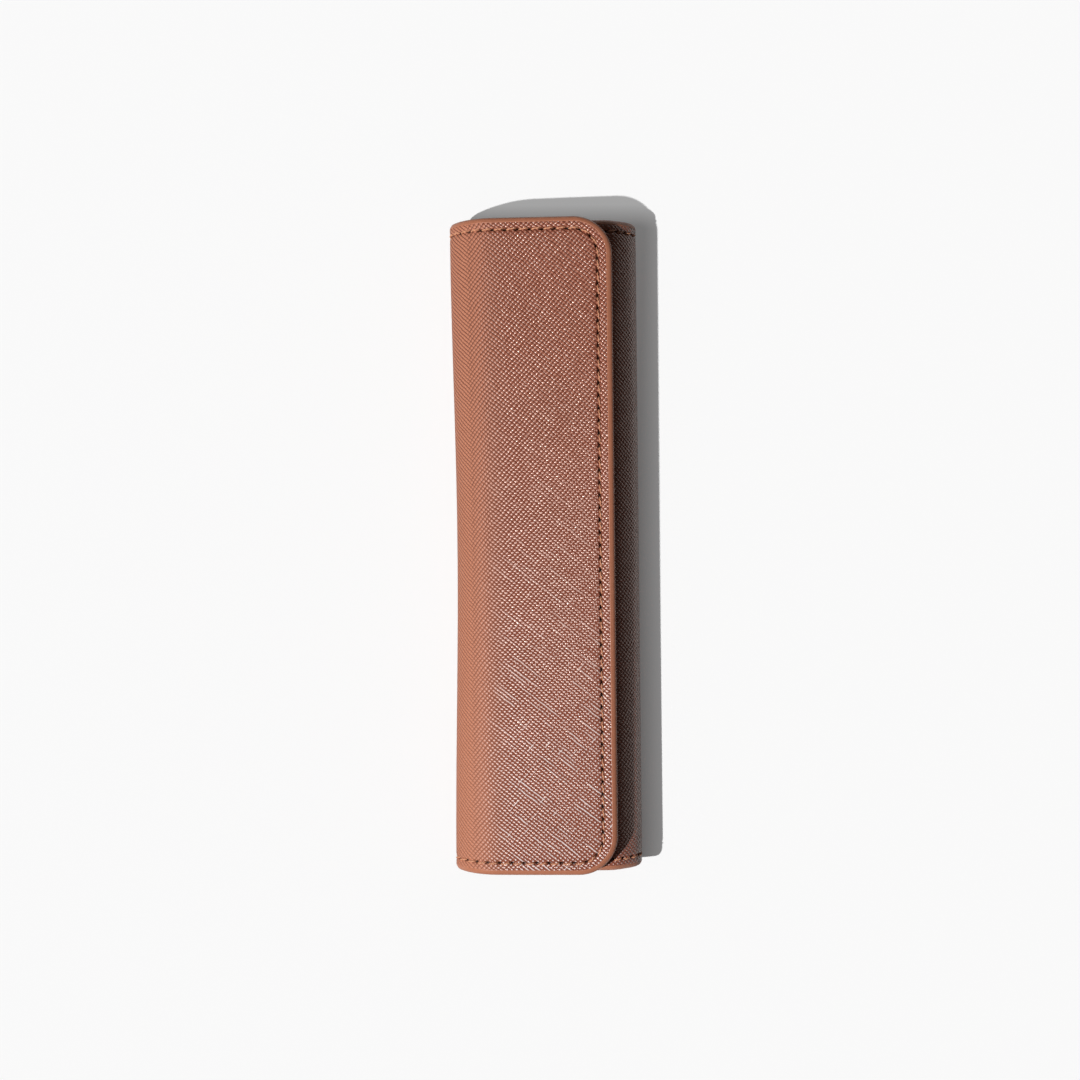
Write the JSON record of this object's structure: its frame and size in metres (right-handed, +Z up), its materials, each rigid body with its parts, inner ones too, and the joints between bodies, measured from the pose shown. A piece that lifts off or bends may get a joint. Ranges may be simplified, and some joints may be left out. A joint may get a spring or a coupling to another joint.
{
  "type": "pen sleeve",
  "caption": "Slim rolled sleeve for a single pen: a stitched, lined leather sheet folded into a flat open-ended tube and closed by a wrap-over flap held by hidden magnets.",
  "frame": {"origin": "middle of the rest face on the back, under the centre of the closed sleeve", "axes": "+X from the rolled spine to the closed side, +Y along the pen, +Z up from the table through the flap"},
  "size_m": [0.048, 0.165, 0.0176],
  "materials": {
    "cover_leather": "cross-hatch embossed, coated, semi-gloss, with painted edges",
    "lining": "napped microfibre",
    "thread": "twisted polyester thread",
    "elastic": "woven elastic band",
    "board": "pressed fibre board",
    "magnet": "nickel-plated disc"
  },
  "bodies": {
    "sleeve": {"sleeve_cover": "cover_leather", "sleeve_lining": "lining", "sleeve_end_seams": "thread", "front_edge_seam": "thread", "back_board": "board", "front_board": "board", "front_magnet_top": "magnet", "front_magnet_bottom": "magnet", "pen_loop": "elastic", "pen_loop_stitches": "thread"},
    "lower_spine": {"lower_spine_cover": "cover_leather", "lower_spine_lining": "lining", "lower_spine_seams": "thread"},
    "upper_spine": {"upper_spine_cover": "cover_leather", "upper_spine_lining": "lining", "upper_spine_seams": "thread"},
    "flap": {"flap_cover": "cover_leather", "flap_lining": "lining", "flap_seam": "thread", "flap_board": "board", "flap_magnet_top": "magnet", "flap_magnet_bottom": "magnet"}
  },
  "joints": [
    {"name": "lower_fold", "type": "hinge", "parent": "sleeve", "child": "lower_spine", "pos_m": [-0.01905, 0, 0.00147], "axis": [0, -1, 0], "range_deg": [0, 58.5]},
    {"name": "middle_fold", "type": "hinge", "parent": "lower_spine", "child": "upper_spine", "pos_m": [-0.02375, 0, 0.008], "axis": [0, -1, 0], "range_deg": [0, 58.5]},
    {"name": "upper_fold", "type": "hinge", "parent": "upper_spine", "child": "flap", "pos_m": [-0.01887, 0, 0.01479], "axis": [0, -1, 0], "range_deg": [0, 58.5]}
  ],
  "couplings": [
    {"joint": "middle_fold", "follows": "lower_fold", "ratio": 1},
    {"joint": "upper_fold", "follows": "lower_fold", "ratio": 1}
  ]
}
